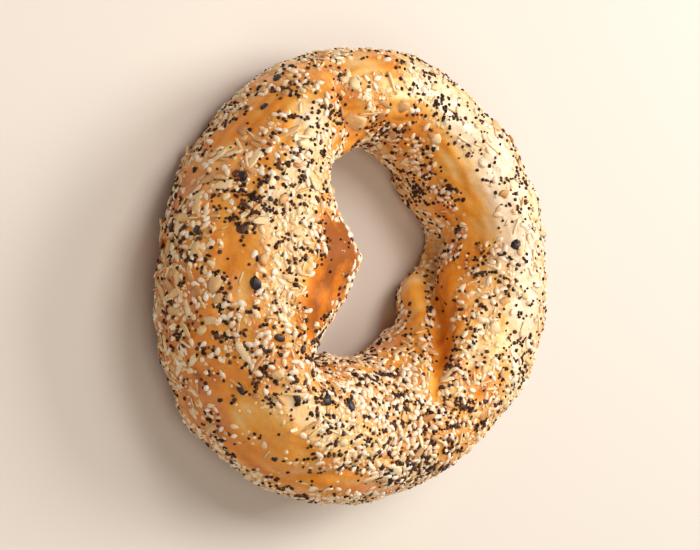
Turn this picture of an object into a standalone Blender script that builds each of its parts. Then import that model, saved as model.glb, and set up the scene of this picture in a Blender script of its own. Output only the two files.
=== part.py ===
"""An everything bagel lying on its underside: one solid, dough with its larger toppings fused on.

Metres, +Z up. The origin is the middle of the underside. Run with blender --background --python part.py.

The dough is a ring. A point on it has two angles: the ring angle goes round the hole, from +X towards +Y,
and the section angle goes round the limb, from outwards (0) over the top (90) to the hole side (180).
"""

import math
import random

import bmesh
import bpy
import numpy as np
from mathutils import Matrix, Vector

MM = 0.001

# The ring: a nearly round outline, with a hole set a little off its middle.
OUTER_RADIUS = 55.8 * MM
OUTLINE_MIDDLE = np.array((0.7, 0.1)) * MM  # sets the middle of the whole at the origin
OUTLINE_TWICE = np.array((0.0, 1.7)) * MM  # cosine and sine of twice the ring angle
OUTLINE_THRICE = np.array((-0.3, -0.4)) * MM
HOLE_MIDDLE = np.array((4.0, 5.2)) * MM  # from the outline's middle
HOLE_RADII = np.array((22.5, 26.2)) * MM
FOOT_DEPTH = 3.0 * MM  # how much of the round section the flat underside cuts off

# Where the hole is wider or narrower than an oval: (ring angle, reach in degrees, change of radius).
HOLE_CORNERS = (
    (10, 12, 4.0 * MM),
    (140, 26, 3.0 * MM),
    (222, 16, 12.5 * MM),
    (296, 20, -3.0 * MM),
    (330, 22, -3.0 * MM),
)

# Height of the limb: its mean, then cosine and sine of the ring angle, then of twice that angle.
CREST_MEAN = 34.0 * MM
CREST_ONCE = np.array((-2.5, -3.0)) * MM
CREST_TWICE = np.array((2.0, 0.0)) * MM

# Gentle unevenness of hand-rolled dough: (height, turns round the ring, turns round the limb, phase).
WAVES = (
    (0.45 * MM, 3, 1, 0.6),
    (0.40 * MM, 5, 2, 2.1),
    (0.30 * MM, 7, -2, 4.0),
    (0.25 * MM, 2, 3, 5.2),
    (0.20 * MM, 11, 1, 1.3),
)

# Creases where the rolled rope of dough laps over itself. Each follows (ring angle, section angle) points.
# depth is that of the valley, left and right are how far its two banks reach, seen along its run, and lift
# raises the left bank. Over the shares of its length given by fade, it swells from nothing at its two ends.
# power is 1 for a sharp fold and 2 for a round gutter.
CREASES = (
    {  # from the hole's right-hand corner, over the top, to the middle of the lower limb
        "points": ((8, 220), (358, 208), (342, 184), (320, 168), (304, 151), (292, 133), (282, 114), (276, 97)),
        "depth": 5.0 * MM,
        "left": 4.4 * MM,
        "right": 2.0 * MM,
        "lift": 0.8 * MM,
        "fade": (0.12, 0.5),
        "power": 2.0,
    },
    {  # the lip in which that crease runs out, down the outer side
        "points": ((276, 104), (268, 88), (258, 70), (249, 55), (242, 37), (236, 16)),
        "depth": 1.4 * MM,
        "left": 3.0 * MM,
        "right": 2.8 * MM,
        "lift": 0.9 * MM,
        "fade": (0.3, 0.3),
        "power": 1.0,
    },
    {  # the seam at the top, where the wide limb's end lies on the narrow one
        "points": ((119, 156), (118, 134), (117, 110), (117, 86), (117, 62), (118, 38)),
        "depth": 4.6 * MM,
        "left": 2.8 * MM,
        "right": 4.2 * MM,
        "lift": 1.2 * MM,
        "fade": (0.25, 0.4),
        "power": 1.8,
    },
)
CREASE_POINTS = 200
CREASE_SPREAD = 2.4  # how far a crease is felt, for each unit that its left bank reaches

# Swellings and dents: (ring angle, section angle, reach, height).
SWELLS = (
    (184, 152, 13.0 * MM, 8.5 * MM),  # the lobe that leans into the hole
    (113, 106, 6.0 * MM, -1.6 * MM),  # the dimple beside the seam
    (336, 205, 8.0 * MM, 2.5 * MM),  # the tongue between the crease and the hole
)

# The mesh of the dough is drawn finely, then thinned to few triangles where it is smooth.
RING_STEPS = 280
SECTION_STEPS = 120
DOUGH_TRIANGLES = 5000
FLAT_WITHIN = 0.05 * MM  # points of the thinned mesh this close to the ground lie on it
CREASE_SOFTNESS = 1.6 * MM

# Places that the toppings leave bare: two ends as (ring angle, section angle), and a radius.
BARE_PATCHES = (
    ((118, 108), (114, 66), 5.0 * MM),
    ((94, 92), (94, 80), 4.5 * MM),
    ((52, 124), (29, 148), 6.0 * MM),
    ((157, 350), (136, 33), 5.0 * MM),
    ((179, 51), (187, 62), 5.0 * MM),
    ((189, 5), (206, 12), 4.5 * MM),
    ((212, 16), (233, 44), 4.5 * MM),
    ((350, 172), (293, 137), 4.0 * MM),
    ((330, 201), (291, 156), 3.5 * MM),
    ((346, 40), (304, 60), 4.5 * MM),
)

# Toppings, largest first: (kind, how many, length, width, thickness).
TOPPINGS = (
    ("onion", 34, 4.4 * MM, 3.0 * MM, 1.6 * MM),
    ("sliver", 20, 5.0 * MM, 1.2 * MM, 1.2 * MM),
    ("sesame", 108, 3.2 * MM, 2.0 * MM, 1.6 * MM),
)
TOPPING_GAP = 6.0 * MM  # least distance between the middles of two toppings
TOPPING_SINK = 0.12  # share of the thickness by which a topping's middle lies below the crust
SIZE_SPREAD = 0.16
TOPPING_TILT = 0.15  # radians either way
LOWEST_TOPPING = 6.0 * MM
SEED = 21

CRUST_COLOUR = (0.52, 0.24, 0.075, 1.0)
CRUST_ROUGHNESS = 0.42


def outline_radius(ring):
    """Distance from the hole's middle to the outline, at a ring angle."""
    radius = (
        OUTER_RADIUS
        + OUTLINE_TWICE[0] * np.cos(2 * ring)
        + OUTLINE_TWICE[1] * np.sin(2 * ring)
        + OUTLINE_THRICE[0] * np.cos(3 * ring)
        + OUTLINE_THRICE[1] * np.sin(3 * ring)
    )
    along = HOLE_MIDDLE[0] * np.cos(ring) + HOLE_MIDDLE[1] * np.sin(ring)
    return -along + np.sqrt(radius**2 - HOLE_MIDDLE @ HOLE_MIDDLE + along**2)


def hole_radius(ring):
    """Distance from the hole's middle to its edge, an oval with corners, at a ring angle."""
    radius = 1 / np.hypot(np.cos(ring) / HOLE_RADII[0], np.sin(ring) / HOLE_RADII[1])
    for angle, reach, change in HOLE_CORNERS:
        turn = (np.degrees(ring) - angle + 180) % 360 - 180
        radius = radius + change * np.exp(-((turn / reach) ** 2))
    return radius


def crest_height(ring):
    """Height of the limb's crest above the underside, at a ring angle."""
    return (
        CREST_MEAN
        + CREST_ONCE[0] * np.cos(ring)
        + CREST_ONCE[1] * np.sin(ring)
        + CREST_TWICE[0] * np.cos(2 * ring)
        + CREST_TWICE[1] * np.sin(2 * ring)
    )


def plain_ring(ring, section):
    """Points of the smooth ring, an oval section carried round the hole: angles in, (..., 3) out."""
    reach = (outline_radius(ring) - hole_radius(ring)) / 2
    middle = (outline_radius(ring) + hole_radius(ring)) / 2
    rise = (crest_height(ring) + FOOT_DEPTH) / 2
    swell = sum(
        height * np.cos(round_ring * ring + round_limb * section + phase)
        for height, round_ring, round_limb, phase in WAVES
    )
    out = middle + (reach + swell) * np.cos(section)
    up = rise - FOOT_DEPTH + (rise + swell) * np.sin(section)
    hub = OUTLINE_MIDDLE + HOLE_MIDDLE
    return np.stack([hub[0] + out * np.cos(ring), hub[1] + out * np.sin(ring), up], axis=-1)


def plain_normals(ring, section):
    """Outward unit normals of the smooth ring, from small steps along both angles."""
    step = 1e-4
    along = plain_ring(ring + step, section) - plain_ring(ring - step, section)
    across = plain_ring(ring, section + step) - plain_ring(ring, section - step)
    normals = np.cross(along, across)
    return normals / np.linalg.norm(normals, axis=-1, keepdims=True)


def crease_path(points):
    """Points, steps and leftward directions along a crease, on a smooth curve through its angles."""
    ring, section = np.radians(np.array(points, float)).T
    ring = np.unwrap(ring)
    knots = np.linspace(0, 1, len(points))
    fine = np.linspace(0, 1, CREASE_POINTS)
    ring = np.polyval(np.polyfit(knots, ring, 4), fine)
    section = np.polyval(np.polyfit(knots, section, 4), fine)
    places = plain_ring(ring, section)
    steps = np.gradient(places, axis=0)
    lefts = np.cross(plain_normals(ring, section), steps)
    return places, steps, lefts / np.linalg.norm(lefts, axis=1, keepdims=True)


def crease_relief(places, crease, softness):
    """Height that a crease adds at each of (n, 3) places: a valley that dies away to both of its banks."""
    path, steps, lefts = crease_path(crease["points"])
    nearest = np.linalg.norm(places[:, None, :] - path[None, :, :], axis=2).argmin(axis=1)
    gaps = places - path[nearest]
    distance = np.linalg.norm(gaps, axis=1)
    past = np.einsum("ij,ij->i", gaps, steps[nearest]) / np.einsum("ij,ij->i", steps, steps)[nearest]
    along = np.clip((nearest + np.clip(past, -0.5, 0.5)) / (CREASE_POINTS - 1), 0, 1)
    strength = np.clip(np.minimum(along / crease["fade"][0], (1 - along) / crease["fade"][1]), 0, 1)
    strength = strength * strength * (3 - 2 * strength)
    to_left = (1 + np.einsum("ij,ij->i", gaps, lefts[nearest]) / np.maximum(distance, 1e-9)) / 2
    reach = (crease["right"] + (crease["left"] - crease["right"]) * to_left) * (0.4 + 0.6 * strength)
    blunt = np.hypot(distance, softness) - softness
    within = np.clip(1 - (distance / (CREASE_SPREAD * crease["left"])) ** 2, 0, 1) ** 2
    fall = np.exp(-((blunt / reach) ** crease["power"]))
    return strength * within * (crease["lift"] * to_left * (1 - fall) - crease["depth"] * fall)


def swell_relief(places, swell):
    """Height that one swelling adds at each place: a bell curve of the distance from its middle."""
    ring, section, reach, height = swell
    middle = plain_ring(np.radians(float(ring)), np.radians(float(section)))
    return height * np.exp(-((np.linalg.norm(places - middle, axis=1) / reach) ** 2))


def dough_points(ring, section, softness=CREASE_SOFTNESS):
    """(n, 3) points of the finished dough: the ring, its creases and swellings, and the flat underside."""
    places = plain_ring(ring, section)
    normals = plain_normals(ring, section)
    relief = sum(crease_relief(places, crease, softness) for crease in CREASES)
    relief = relief + sum(swell_relief(places, swell) for swell in SWELLS)
    places = places + normals * relief[:, None]
    places[:, 2] = np.maximum(places[:, 2], 0)
    return places


def make_dough():
    """The dough as one closed mesh of triangles, with the middle of its underside at the origin."""
    ring = np.arange(RING_STEPS) * 2 * math.pi / RING_STEPS
    section = np.arange(SECTION_STEPS) * 2 * math.pi / SECTION_STEPS
    rings, sections = np.meshgrid(ring, section, indexing="ij")
    points = dough_points(rings.ravel(), sections.ravel())
    index = np.arange(RING_STEPS * SECTION_STEPS).reshape(RING_STEPS, SECTION_STEPS)
    onward = np.roll(index, -1, axis=0)
    faces = np.stack([index, onward, np.roll(onward, -1, axis=1), np.roll(index, -1, axis=1)], axis=-1)
    mesh = bpy.data.meshes.new("bagel")
    mesh.from_pydata(points.tolist(), [], faces.reshape(-1, 4).tolist())
    dough = bpy.data.objects.new("bagel", mesh)
    bpy.context.scene.collection.objects.link(dough)
    thin = dough.modifiers.new("thin", "DECIMATE")
    thin.ratio = DOUGH_TRIANGLES / (2 * RING_STEPS * SECTION_STEPS)
    thin.use_collapse_triangulate = True
    bpy.context.view_layer.objects.active = dough
    bpy.ops.object.modifier_apply(modifier=thin.name)
    for point in mesh.vertices:
        if point.co.z < FLAT_WITHIN:
            point.co.z = 0
    return dough


def patch_lines():
    """The bare patches as (start, end, radius)."""
    lines = []
    for start, end, radius in BARE_PATCHES:
        rings, sections = np.radians(np.array((start, end), float)).T
        places = plain_ring(rings, sections)
        lines.append((Vector(places[0]), Vector(places[1]), radius))
    return lines


def is_bare(place, lines):
    """Whether a place lies within one of the bare patches."""
    for start, end, radius in lines:
        run = end - start
        share = min(max((place - start).dot(run) / run.length_squared, 0), 1)
        if (place - (start + run * share)).length < radius:
            return True
    return False


def topping_mesh(kind, draw):
    """A topping of unit size in every direction: a seed, a six-sided chip or a thin stick."""
    shape = bmesh.new()
    if kind == "sesame":
        bmesh.ops.create_icosphere(shape, subdivisions=1, radius=0.5)
    elif kind == "onion":
        bmesh.ops.create_cone(shape, cap_ends=True, segments=6, radius1=0.5, radius2=0.42, depth=1)
    else:
        bmesh.ops.create_cube(shape, size=1)
    for point in shape.verts:
        if kind == "sesame":
            point.co.y *= 1 - 0.5 * point.co.x
        elif kind == "onion":
            point.co.xy *= draw.uniform(0.8, 1.15)
        else:
            point.co.y *= 1 - 0.6 * abs(point.co.x)
    mesh = bpy.data.meshes.new(kind)
    shape.to_mesh(mesh)
    shape.free()
    return mesh


def scatter_toppings(dough):
    """Fills a new collection with toppings, spread evenly over the crust but for its bare patches."""
    draw = random.Random(SEED)
    toppings = bpy.data.collections.new("toppings")
    bpy.context.scene.collection.children.link(toppings)
    faces = dough.data.polygons
    weights = [face.area for face in faces]
    lines = patch_lines()
    taken = []
    for kind, count, length, width, thickness in TOPPINGS:
        placed = 0
        while placed < count:
            face = draw.choices(faces, weights)[0]
            shares = [draw.random() for _ in face.vertices]
            corners = [dough.data.vertices[corner].co for corner in face.vertices]
            place = sum((co * share for co, share in zip(corners, shares)), Vector()) / sum(shares)
            crowded = any((place - other).length < TOPPING_GAP for other in taken)
            if crowded or place.z < LOWEST_TOPPING or is_bare(place, lines):
                continue
            size = draw.uniform(1 - SIZE_SPREAD, 1 + SIZE_SPREAD)
            topping = bpy.data.objects.new(kind, topping_mesh(kind, draw))
            turn = Matrix.Rotation(draw.uniform(0, 2 * math.pi), 4, "Z")
            tilt = Matrix.Rotation(draw.uniform(-TOPPING_TILT, TOPPING_TILT), 4, "Y")
            stretch = Matrix.Diagonal((length * size, width * size, thickness, 1))
            stand = Vector(face.normal).to_track_quat("Z", "Y").to_matrix().to_4x4()
            seat = Matrix.Translation(place - Vector(face.normal) * thickness * TOPPING_SINK)
            topping.matrix_world = seat @ stand @ turn @ tilt @ stretch
            toppings.objects.link(topping)
            taken.append(place)
            placed += 1
    return toppings


def fuse(dough, toppings):
    """Joins every topping to the dough by one Boolean union, then removes them."""
    bpy.context.view_layer.update()
    union = dough.modifiers.new("toppings", "BOOLEAN")
    union.operation = "UNION"
    union.operand_type = "COLLECTION"
    union.collection = toppings
    union.solver = "EXACT"
    bpy.context.view_layer.objects.active = dough
    bpy.ops.object.modifier_apply(modifier=union.name)
    for topping in list(toppings.objects):
        bpy.data.objects.remove(topping)
    bpy.data.collections.remove(toppings)


def crust_material():
    """Baked crust, orange-brown with a soft gloss."""
    material = bpy.data.materials.new("crust")
    material.use_nodes = True
    shader = material.node_tree.nodes["Principled BSDF"]
    shader.inputs["Base Color"].default_value = CRUST_COLOUR
    shader.inputs["Roughness"].default_value = CRUST_ROUGHNESS
    shader.inputs["Metallic"].default_value = 0.0
    return material


def main():
    """Clears the scene and builds the bagel."""
    for old in list(bpy.data.objects):
        bpy.data.objects.remove(old)
    dough = make_dough()
    fuse(dough, scatter_toppings(dough))
    dough.data.materials.clear()
    dough.data.materials.append(crust_material())
    dough.data.shade_smooth()
    dough.data.set_sharp_from_angle(angle=math.radians(40))


if __name__ == "__main__":
    main()
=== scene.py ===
import itertools
import logging
import math
from dataclasses import dataclass, field
from enum import Enum

import bpy
import numpy as np
from mathutils import Matrix, Vector


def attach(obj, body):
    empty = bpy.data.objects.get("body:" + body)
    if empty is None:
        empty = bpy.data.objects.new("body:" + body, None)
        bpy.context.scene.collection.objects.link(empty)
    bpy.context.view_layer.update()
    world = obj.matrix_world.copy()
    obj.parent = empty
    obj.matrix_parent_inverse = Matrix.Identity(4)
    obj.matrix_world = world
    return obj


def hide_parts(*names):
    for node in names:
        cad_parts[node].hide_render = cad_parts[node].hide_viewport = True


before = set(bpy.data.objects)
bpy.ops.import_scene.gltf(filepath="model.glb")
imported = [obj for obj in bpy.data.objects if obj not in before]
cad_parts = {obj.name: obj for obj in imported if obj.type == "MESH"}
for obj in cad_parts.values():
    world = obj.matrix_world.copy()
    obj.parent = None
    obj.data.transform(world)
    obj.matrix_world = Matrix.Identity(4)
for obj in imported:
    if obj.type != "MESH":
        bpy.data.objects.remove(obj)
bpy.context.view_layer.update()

# Looks of an everything bagel: its baked crust as one surface, and every seed, flake and sliver on it.
#
# The bagel lies on its underside with its shown side up. The dough is a ring, and a point on it has two
# angles in degrees: the ring angle goes round the hole, from +X towards +Y, and the section angle goes round
# the limb, from outwards (0) over the top (90) to the hole side (180).

MM = 0.001
TINY = 1e-12
BODY = "root"
NODE = "bagel"
LOG = logging.getLogger("bagel")

Array = np.ndarray
Pair = tuple[float, float]
Triple = tuple[float, float, float]
Colour = tuple[float, float, float]
Stops = tuple[tuple[float, Colour], ...]
Socket = bpy.types.NodeSocket


def ease(share: Array) -> Array:
    """Smooth step of a share held to 0..1: three times its square less twice its cube."""
    held = np.clip(share, 0, 1)
    return held * held * (3 - 2 * held)


def dot(left: Array, right: Array) -> Array:
    """Dot product over the last axis."""
    return np.einsum("...i,...i->...", left, right)


def unit(vectors: Array) -> Array:
    """Vectors scaled to length one over the last axis."""
    return vectors / np.maximum(np.linalg.norm(vectors, axis=-1, keepdims=True), TINY)


def bell(places: Array, middle: Array, reach: float) -> Array:
    """Bell curve of each place's distance from a middle, which falls from one over its reach."""
    return np.exp(-((np.linalg.norm(places - middle, axis=1) / reach) ** 2))


def rows(kind: type, *fields: tuple[float, ...]) -> tuple:
    """Objects of one kind, each made from a row of its fields."""
    return tuple(kind(*row) for row in fields)


@dataclass(frozen=True)
class Crease:
    """A fold where the rolled rope of dough laps over itself.

    It follows its points, and its valley is as deep as depth. left and right are how far its two banks
    reach, seen along its run, and lift raises the left bank. Over the shares of its length that fade gives,
    it swells from nothing at its two ends. power is 1 for a sharp fold and 2 for a round gutter.
    """

    points: tuple[Pair, ...]
    depth: float
    left: float
    right: float
    lift: float
    fade: Pair
    power: float


@dataclass(frozen=True)
class Swell:
    """A soft bump on the dough at two angles, or a dent where its height is below zero."""

    ring: float
    section: float
    reach: float
    height: float


@dataclass(frozen=True)
class DoughForm:
    """The shape of the dough: an oval section carried round an off-centre hole, with folds and swellings.

    A corner of the hole has a ring angle, a reach in degrees and a change of the radius. A wave has a
    height, its turns round the ring and round the limb, and a phase in radians.
    """

    outer_radius: float = 55.8 * MM
    outline_middle: Pair = (0.7 * MM, 0.1 * MM)
    outline_twice: Pair = (0.0, 1.7 * MM)
    outline_thrice: Pair = (-0.3 * MM, -0.4 * MM)
    hole_middle: Pair = (4.0 * MM, 5.2 * MM)
    hole_radii: Pair = (22.5 * MM, 26.2 * MM)
    foot_depth: float = 3.0 * MM
    hole_corners: tuple[Triple, ...] = (
        (10, 12, 4.0 * MM),
        (140, 26, 3.0 * MM),
        (222, 16, 12.5 * MM),
        (296, 20, -3.0 * MM),
        (330, 22, -3.0 * MM),
    )
    crest_mean: float = 34.0 * MM
    crest_once: Pair = (-2.5 * MM, -3.0 * MM)
    crest_twice: Pair = (2.0 * MM, 0.0)
    waves: tuple[tuple[float, int, int, float], ...] = (
        (0.45 * MM, 3, 1, 0.6),
        (0.40 * MM, 5, 2, 2.1),
        (0.30 * MM, 7, -2, 4.0),
        (0.25 * MM, 2, 3, 5.2),
        (0.20 * MM, 11, 1, 1.3),
    )
    creases: tuple[Crease, ...] = (
        Crease(
            ((8, 220), (358, 208), (342, 184), (320, 168), (304, 151), (292, 133), (282, 114), (276, 97)),
            depth=5.0 * MM, left=4.4 * MM, right=2.0 * MM, lift=0.8 * MM, fade=(0.12, 0.5), power=2.0,
        ),
        Crease(
            ((276, 104), (268, 88), (258, 70), (249, 55), (242, 37), (236, 16)),
            depth=1.4 * MM, left=3.0 * MM, right=2.8 * MM, lift=0.9 * MM, fade=(0.3, 0.3), power=1.0,
        ),
        Crease(
            ((119, 156), (118, 134), (117, 110), (117, 86), (117, 62), (118, 38)),
            depth=4.6 * MM, left=2.8 * MM, right=4.2 * MM, lift=1.2 * MM, fade=(0.25, 0.4), power=1.8,
        ),
    )
    swells: tuple[Swell, ...] = (
        Swell(184, 152, 13.0 * MM, 8.5 * MM),
        Swell(113, 106, 6.0 * MM, -1.6 * MM),
        Swell(336, 205, 8.0 * MM, 2.5 * MM),
    )
    crease_points: int = 200
    crease_degree: int = 4
    crease_spread: float = 2.4
    crease_end: float = 0.4
    softness: float = 0.35 * MM
    least_gap: float = 1e-9
    angle_step: float = 1e-4

    @staticmethod
    def lobed(mean: float, lobes: tuple[tuple[int, Pair], ...], ring: Array) -> Array:
        """A mean, plus a cosine and a sine wave for each number of lobes round the ring.

        Args:
            mean: the mean in metres.
            lobes: pairs of how many lobes and the heights of their two waves.
            ring: ring angles in radians.

        Returns:
            Lengths in metres, of the shape of ring.
        """
        length = mean
        for turns, (cosine, sine) in lobes:
            length = length + cosine * np.cos(turns * ring) + sine * np.sin(turns * ring)
        return length

    def limb(self, ring: Array) -> tuple[Array, Array, Array]:
        """Where the limb lies at each ring angle.

        The outline is a circle with two and three gentle lobes, the hole's edge an oval with bell-shaped
        corners, and the crest's height has one and two lobes.

        Args:
            ring: ring angles in radians.

        Returns:
            Distances from the hole's middle to its edge and to the outline, and the crest's height.
        """
        inner = 1 / np.hypot(np.cos(ring) / self.hole_radii[0], np.sin(ring) / self.hole_radii[1])
        for angle, reach, change in self.hole_corners:
            turn = (np.degrees(ring) - angle + 180) % 360 - 180
            inner = inner + change * np.exp(-((turn / reach) ** 2))
        radius = self.lobed(self.outer_radius, ((2, self.outline_twice), (3, self.outline_thrice)), ring)
        hole = np.array(self.hole_middle)
        along = hole[0] * np.cos(ring) + hole[1] * np.sin(ring)
        outer = -along + np.sqrt(radius**2 - hole @ hole + along**2)
        return inner, outer, self.lobed(self.crest_mean, ((1, self.crest_once), (2, self.crest_twice)), ring)

    def plain(self, ring: Array, section: Array) -> Array:
        """Points of the smooth ring.

        The section is an ellipse from the hole's edge to the outline and from below the ground to the
        crest, and waves of both angles swell it a little.

        Args:
            ring: ring angles in radians.
            section: section angles in radians, of the same shape.

        Returns:
            Points in metres, with one axis more.
        """
        inner, outer, crest = self.limb(ring)
        reach, middle = (outer - inner) / 2, (outer + inner) / 2
        rise = (crest + self.foot_depth) / 2
        swell = sum(
            height * np.cos(round_ring * ring + round_limb * section + phase)
            for height, round_ring, round_limb, phase in self.waves
        )
        out = middle + (reach + swell) * np.cos(section)
        up = rise - self.foot_depth + (rise + swell) * np.sin(section)
        hub = np.array(self.outline_middle) + np.array(self.hole_middle)
        return np.stack([hub[0] + out * np.cos(ring), hub[1] + out * np.sin(ring), up], axis=-1)

    def plain_normals(self, ring: Array, section: Array) -> Array:
        """Outward unit normals of the smooth ring, from small steps along both angles.

        Args:
            ring: ring angles in radians.
            section: section angles in radians, of the same shape.

        Returns:
            Unit vectors, with one axis more.
        """
        step = self.angle_step
        along = self.plain(ring + step, section) - self.plain(ring - step, section)
        across = self.plain(ring, section + step) - self.plain(ring, section - step)
        return unit(np.cross(along, across))

    def place(self, ring: float, section: float) -> Array:
        """Point of the smooth ring at a ring and a section angle in degrees."""
        return self.plain(*np.radians(np.array((ring, section), float)))

    def crease_relief(self, places: Array, crease: Crease) -> Array:
        """Height that a crease adds: a valley that dies away to both of its banks.

        Each of its angles is smoothed by one polynomial along it. The valley's share of its depth is
        exp(-(distance / reach) ** power), and the left bank rises by what the valley leaves.

        Args:
            places: (n, 3) points of the smooth ring.
            crease: the fold.

        Returns:
            n heights in metres, zero out of the crease's reach.
        """
        knots = np.linspace(0, 1, len(crease.points))
        fine = np.linspace(0, 1, self.crease_points)
        ring, section = (
            np.polyval(np.polyfit(knots, np.unwrap(angles), self.crease_degree), fine)
            for angles in np.radians(np.array(crease.points, float)).T
        )
        path = self.plain(ring, section)
        steps = np.gradient(path, axis=0)
        lefts = unit(np.cross(self.plain_normals(ring, section), steps))
        spread = self.crease_spread * crease.left
        relief = np.zeros(len(places))
        near = np.all((places > path.min(0) - spread) & (places < path.max(0) + spread), axis=1)
        close = places[near]
        nearest = np.linalg.norm(close[:, None] - path[None], axis=2).argmin(axis=1)
        gaps = close - path[nearest]
        distance = np.linalg.norm(gaps, axis=1)
        past = dot(gaps, steps[nearest]) / dot(steps, steps)[nearest]
        along = (nearest + np.clip(past, -0.5, 0.5)) / (self.crease_points - 1)
        strength = ease(np.minimum(along / crease.fade[0], (1 - along) / crease.fade[1]))
        to_left = (1 + dot(gaps, lefts[nearest]) / np.maximum(distance, self.least_gap)) / 2
        reach = crease.right + (crease.left - crease.right) * to_left
        reach = reach * (self.crease_end + (1 - self.crease_end) * strength)
        blunt = np.hypot(distance, self.softness) - self.softness
        within = np.clip(1 - (distance / spread) ** 2, 0, 1) ** 2
        fall = np.exp(-((blunt / reach) ** crease.power))
        relief[near] = strength * within * (crease.lift * to_left * (1 - fall) - crease.depth * fall)
        return relief

    def surface(self, ring: Array, section: Array) -> tuple[Array, Array]:
        """Points and outward normals of the dough before its finest relief, with no ground under it.

        Args:
            ring: n ring angles in radians.
            section: n section angles in radians.

        Returns:
            Two arrays of (n, 3): points in metres and unit normals of the smooth ring.
        """
        places = self.plain(ring, section)
        normals = self.plain_normals(ring, section)
        relief = sum(self.crease_relief(places, crease) for crease in self.creases)
        relief = relief + sum(
            swell.height * bell(places, self.place(swell.ring, swell.section), swell.reach)
            for swell in self.swells
        )
        return places + normals * relief[:, None], normals


def rippled(places: Array, layers: tuple[Pair, ...], seed: int, count: int = 24) -> Array:
    """Unevenness: for each layer its height, times a sum of plane waves of nearly one length.

    Args:
        places: (n, 3) points.
        layers: pairs of a mean wave length in metres and a height.
        seed: seed of the first layer's waves; each layer takes the next.
        count: how many waves a layer has, in drawn directions.

    Returns:
        n values, each layer with a spread of its height.
    """
    total = 0
    for number, (length, height) in enumerate(layers):
        draw = np.random.default_rng(seed + number)
        lengths = length * draw.uniform(0.7, 1.4, count)
        vectors = unit(draw.normal(size=(count, 3))) * (2 * math.pi / lengths)[:, None]
        phases = draw.uniform(0, 2 * math.pi, count)
        waves = np.cos(places @ vectors.T + phases)
        total = total + height * (waves.sum(axis=-1) * math.sqrt(2 / count))
    return total


@dataclass(frozen=True)
class Patch:
    """A round-ended stretch of crust, from one pair of ring and section angles to another.

    Its radius and the soft width of its edge are in millimetres, and the tables below say what its value is.
    """

    ring: float
    section: float
    end_ring: float
    end_section: float
    radius: float
    value: float = 0.0
    soft: float = 1.2

    def share(self, places: Array, form: DoughForm) -> Array:
        """How far each place lies within the patch, fading over its soft width at the edge.

        Args:
            places: (n, 3) points of the smooth ring.
            form: the dough that the angles belong to.

        Returns:
            n shares from 0 outside to 1 inside.
        """
        first = form.place(self.ring, self.section)
        run = form.place(self.end_ring, self.end_section) - first
        along = np.clip((places - first) @ run / max(run @ run, TINY), 0, 1)
        distance = np.linalg.norm(places - first - along[:, None] * run, axis=1)
        radius, soft = self.radius * MM, self.soft * MM
        return ease((radius + soft - distance) / (2 * soft))


# Crust that shows: the value is the share of the toppings that stays on it.
BARE = rows(
    Patch,
    # The left rim and the near left shoulder.
    (150, 6, 137, 28, 4.2), (134, 36, 134, 46, 3.0), (158, 352, 176, 350, 3.2, 0.3),
    (182, 47, 178, 52, 3.8), (220, 42, 224, 70, 5.0, 0.14), (228, 49, 236, 40, 4.4, 0.1),
    (208, 30, 222, 36, 6.5, 0.18, 2.5), (222, 40, 236, 46, 6.0, 0.15, 2.5),
    (236, 46, 254, 42, 4.0, 0.2, 2.0), (226, 18, 248, 26, 5.0, 0.25, 2.0),
    (224, 16, 236, 28, 4.0), (240, 32, 254, 47, 2.8),
    # The seam and its pocket, and the hole's wall right of them.
    (113, 152, 114, 104, 4.4, 0.12), (115, 104, 118, 56, 3.4, 0.22), (92, 102, 92, 98, 3.0),
    (107, 50, 98, 56, 3.2), (54, 128, 42, 132, 4.2), (28, 136, 14, 141, 4.6),
    # The gutter's wall, its tongue and the near limb's wall.
    (344, 166, 331, 165, 4.6, 0, 0.5), (331, 163, 312, 153, 3.8, 0, 0.5),
    (312, 153, 296, 136, 2.8, 0, 0.4), (296, 136, 283, 121, 1.9, 0, 0.4),
    (283, 121, 278, 108, 1.1, 0, 0.4), (340, 203, 328, 190, 2.6, 0, 0.5),
    (328, 190, 306, 172, 2.1, 0, 0.5), (306, 172, 289, 151, 1.4, 0, 0.4),
    (246, 151, 252, 150, 2.6), (280, 178, 286, 172, 3.0),
    # The lobe into the hole.
    (172, 126, 184, 129, 3.3, 0, 1.3), (184, 126, 191, 120, 4.6, 0, 1.3),
    (191, 119, 197, 113, 5.0, 0, 1.3), (197, 112, 203, 108, 3.2, 0, 1.3),
    (203, 108, 207, 104, 1.6, 0, 1.0),
)

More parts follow.
